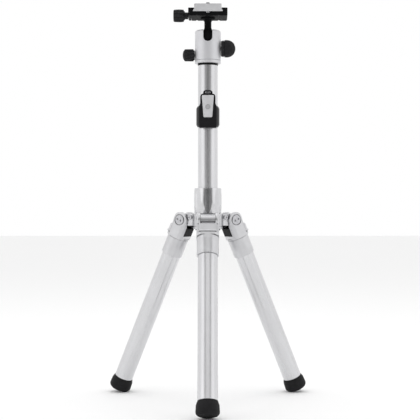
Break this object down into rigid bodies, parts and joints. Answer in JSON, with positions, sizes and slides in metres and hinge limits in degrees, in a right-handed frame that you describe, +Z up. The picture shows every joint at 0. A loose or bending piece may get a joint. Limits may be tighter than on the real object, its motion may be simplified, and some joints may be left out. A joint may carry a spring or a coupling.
{
  "type": "travel tripod with ball head",
  "caption": "Compact silver travel tripod with a ball head, quick-release clamp and plate, folding telescopic legs, rubber feet and a remote release clipped on the column.",
  "frame": {"origin": "on the floor, under the middle of the stance's bounding box", "axes": "+Z up along the column, -Y towards the foot of the front leg, +X to the ball lock knob's side"},
  "size_m": [0.2596, 0.2286, 0.5045],
  "materials": {
    "anodised_silver": "satin anodised with fine lines along the tubes",
    "satin_casting": "fine bead-blasted and anodised",
    "machined_silver": "turned and anodised",
    "black_anodised": "fine satin black anodised",
    "black_rubber": "matte moulded rubber",
    "black_plastic": "fine matte moulded",
    "steel": "turned steel",
    "remote_silver": "satin silver paint",
    "grey_button": "matte",
    "cup_plastic": "smooth bearing plastic"
  },
  "bodies": {
    "hub": {"spider": "satin_casting", "hub_screws": "steel", "column_bush": "black_plastic", "column_collet": "black_plastic"},
    "collar": {"lock_collar": "anodised_silver"},
    "column": {"column_tube": "anodised_silver", "column_ring": "black_plastic", "column_stud": "steel", "column_end_cap": "black_plastic", "pan_base": "machined_silver"},
    "hook": {"bag_hook": "steel"},
    "holder": {"remote_holder": "black_plastic"},
    "remote": {"remote_case": "black_plastic", "remote_face": "remote_silver", "remote_battery": "steel"},
    "button": {"remote_button": "grey_button"},
    "head": {"head_body": "satin_casting", "ball_cup": "cup_plastic"},
    "ball_lock": {"ball_lock_knob": "black_rubber", "ball_lock_screw": "steel"},
    "pan_lock": {"pan_lock_knob": "black_rubber", "pan_lock_screw": "steel"},
    "ball": {"ball_stem": "black_anodised"},
    "clamp": {"clamp_body": "black_anodised", "clamp_bolt": "steel"},
    "jaw": {"clamp_jaw": "black_anodised"},
    "clamp_lock": {"clamp_knob": "black_rubber", "clamp_screw": "steel"},
    "quick_plate": {"plate": "machined_silver", "plate_pads": "black_rubber", "stop_screws": "steel"},
    "mount_screw": {"camera_screw": "steel"},
    "front_leg": {"front_leg_top": "satin_casting", "front_pivot_bolt": "steel", "front_fork_block": "black_plastic", "front_leg_tube": "anodised_silver"},
    "front_tab": {"front_stop_tab": "machined_silver"},
    "front_section_2": {"front_tube_2": "anodised_silver"},
    "front_section_3": {"front_tube_3": "anodised_silver"},
    "front_section_4": {"front_tube_4": "anodised_silver"},
    "front_foot_pad": {"front_foot": "black_rubber"},
    "right_leg": {"right_leg_top": "satin_casting", "right_pivot_bolt": "steel", "right_fork_block": "black_plastic", "right_leg_tube": "anodised_silver"},
    "right_tab": {"right_stop_tab": "machined_silver"},
    "right_section_2": {"right_tube_2": "anodised_silver"},
    "right_section_3": {"right_tube_3": "anodised_silver"},
    "right_section_4": {"right_tube_4": "anodised_silver"},
    "right_foot_pad": {"right_foot": "black_rubber"},
    "left_leg": {"left_leg_top": "satin_casting", "left_pivot_bolt": "steel", "left_fork_block": "black_plastic", "left_leg_tube": "anodised_silver"},
    "left_tab": {"left_stop_tab": "machined_silver"},
    "left_section_2": {"left_tube_2": "anodised_silver"},
    "left_section_3": {"left_tube_3": "anodised_silver"},
    "left_section_4": {"left_tube_4": "anodised_silver"},
    "left_foot_pad": {"left_foot": "black_rubber"}
  },
  "joints": [
    {"name": "collar_twist", "type": "hinge", "parent": "hub", "child": "collar", "pos_m": [0, 0.03322, 0.23657], "axis": [0, 0, 1], "range_deg": [0, 60]},
    {"name": "column_slide", "type": "slide", "parent": "hub", "child": "column", "axis": [0, 0, 1], "range_m": [-0.074, 0.03]},
    {"name": "hook_pull", "type": "slide", "parent": "column", "child": "hook", "axis": [0, 0, 1], "range_m": [-0.01, 0], "stiffness_N_per_m": 300, "springref_m": 0.002},
    {"name": "holder_slide", "type": "slide", "parent": "column", "child": "holder", "axis": [0, 0, 1], "range_m": [0, 0.03]},
    {"name": "remote_lift", "type": "slide", "parent": "holder", "child": "remote", "axis": [0, 0, -1], "range_m": [-0.034, 0]},
    {"name": "button_press", "type": "slide", "parent": "remote", "child": "button", "axis": [0, 1, 0], "range_m": [0, 0.0005], "stiffness_N_per_m": 1200, "springref_m": -0.0003},
    {"name": "head_pan", "type": "hinge", "parent": "column", "child": "head", "pos_m": [0, 0.03322, 0.43057], "axis": [0, 0, 1], "continuous": true},
    {"name": "ball_lock_turn", "type": "hinge", "parent": "head", "child": "ball_lock", "pos_m": [0, 0.03322, 0.44567], "axis": [1, 0, 0], "range_deg": [-180, 180]},
    {"name": "pan_lock_turn", "type": "hinge", "parent": "head", "child": "pan_lock", "pos_m": [0, 0.03322, 0.43737], "axis": [-1, 0, 0], "range_deg": [-180, 180]},
    {"name": "ball_tilt", "type": "hinge", "parent": "head", "child": "ball", "pos_m": [0, 0.03322, 0.45887], "axis": [-1, 0, 0], "range_deg": [-90, 27]},
    {"name": "platform_turn", "type": "hinge", "parent": "ball", "child": "clamp", "pos_m": [0, 0.03322, 0.48457], "axis": [0, 0, 1], "continuous": true},
    {"name": "jaw_slide", "type": "slide", "parent": "clamp", "child": "jaw", "axis": [-1, 0, 0], "range_m": [0, 0.0025]},
    {"name": "clamp_knob_turn", "type": "hinge", "parent": "jaw", "child": "clamp_lock", "pos_m": [0, 0.03322, 0.48747], "axis": [-1, 0, 0], "range_deg": [0, 901]},
    {"name": "plate_slide", "type": "slide", "parent": "clamp", "child": "quick_plate", "axis": [0, 1, 0], "range_m": [-0.007, 0.007]},
    {"name": "camera_screw_turn", "type": "hinge", "parent": "quick_plate", "child": "mount_screw", "pos_m": [0, 0.03322, 0.49977], "axis": [0, 0, 1], "continuous": true},
    {"name": "front_leg_fold", "type": "hinge", "parent": "hub", "child": "front_leg", "pos_m": [0, -0.00078, 0.22857], "axis": [-1, 0, 0], "range_deg": [-24.5, 147]},
    {"name": "front_tab_pull", "type": "slide", "parent": "front_leg", "child": "front_tab", "axis": [0, -0.91, 0.4147], "range_m": [0, 0.003], "stiffness_N_per_m": 600, "springref_m": -0.003},
    {"name": "front_section_2_slide", "type": "slide", "parent": "front_leg", "child": "front_section_2", "axis": [0, 0.4147, 0.91], "range_m": [-0.13, 0]},
    {"name": "front_section_3_slide", "type": "slide", "parent": "front_section_2", "child": "front_section_3", "axis": [0, 0.4147, 0.91], "range_m": [-0.13, 0]},
    {"name": "front_section_4_slide", "type": "slide", "parent": "front_section_3", "child": "front_section_4", "axis": [0, 0.4147, 0.91], "range_m": [-0.13, 0]},
    {"name": "front_foot_twist", "type": "hinge", "parent": "front_section_4", "child": "front_foot_pad", "pos_m": [0, -0.1003, 0.01018], "axis": [0, -0.4147, -0.91], "range_deg": [0, 120]},
    {"name": "right_leg_fold", "type": "hinge", "parent": "hub", "child": "right_leg", "pos_m": [0.02944, 0.05022, 0.22857], "axis": [0.5, -0.866, 0], "range_deg": [-24.5, 147]},
    {"name": "right_tab_pull", "type": "slide", "parent": "right_leg", "child": "right_tab", "axis": [0.788, 0.455, 0.4147], "range_m": [0, 0.003], "stiffness_N_per_m": 600, "springref_m": -0.003},
    {"name": "right_section_2_slide", "type": "slide", "parent": "right_leg", "child": "right_section_2", "axis": [-0.3591, -0.2073, 0.91], "range_m": [-0.13, 0]},
    {"name": "right_section_3_slide", "type": "slide", "parent": "right_section_2", "child": "right_section_3", "axis": [-0.3591, -0.2073, 0.91], "range_m": [-0.13, 0]},
    {"name": "right_section_4_slide", "type": "slide", "parent": "right_section_3", "child": "right_section_4", "axis": [-0.3591, -0.2073, 0.91], "range_m": [-0.13, 0]},
    {"name": "right_foot_twist", "type": "hinge", "parent": "right_section_4", "child": "right_foot_pad", "pos_m": [0.11564, 0.09999, 0.01018], "axis": [0.3591, 0.2073, -0.91], "range_deg": [0, 120]},
    {"name": "left_leg_fold", "type": "hinge", "parent": "hub", "child": "left_leg", "pos_m": [-0.02944, 0.05022, 0.22857], "axis": [0.5, 0.866, 0], "range_deg": [-24.5, 147]},
    {"name": "left_tab_pull", "type": "slide", "parent": "left_leg", "child": "left_tab", "axis": [-0.788, 0.455, 0.4147], "range_m": [0, 0.003], "stiffness_N_per_m": 600, "springref_m": -0.003},
    {"name": "left_section_2_slide", "type": "slide", "parent": "left_leg", "child": "left_section_2", "axis": [0.3591, -0.2073, 0.91], "range_m": [-0.13, 0]},
    {"name": "left_section_3_slide", "type": "slide", "parent": "left_section_2", "child": "left_section_3", "axis": [0.3591, -0.2073, 0.91], "range_m": [-0.13, 0]},
    {"name": "left_section_4_slide", "type": "slide", "parent": "left_section_3", "child": "left_section_4", "axis": [0.3591, -0.2073, 0.91], "range_m": [-0.13, 0]},
    {"name": "left_foot_twist", "type": "hinge", "parent": "left_section_4", "child": "left_foot_pad", "pos_m": [-0.11564, 0.09999, 0.01018], "axis": [-0.3591, 0.2073, -0.91], "range_deg": [0, 120]}
  ],
  "couplings": [
    {"joint": "clamp_knob_turn", "follows": "jaw_slide", "rad_per_m": 6283.2}
  ]
}
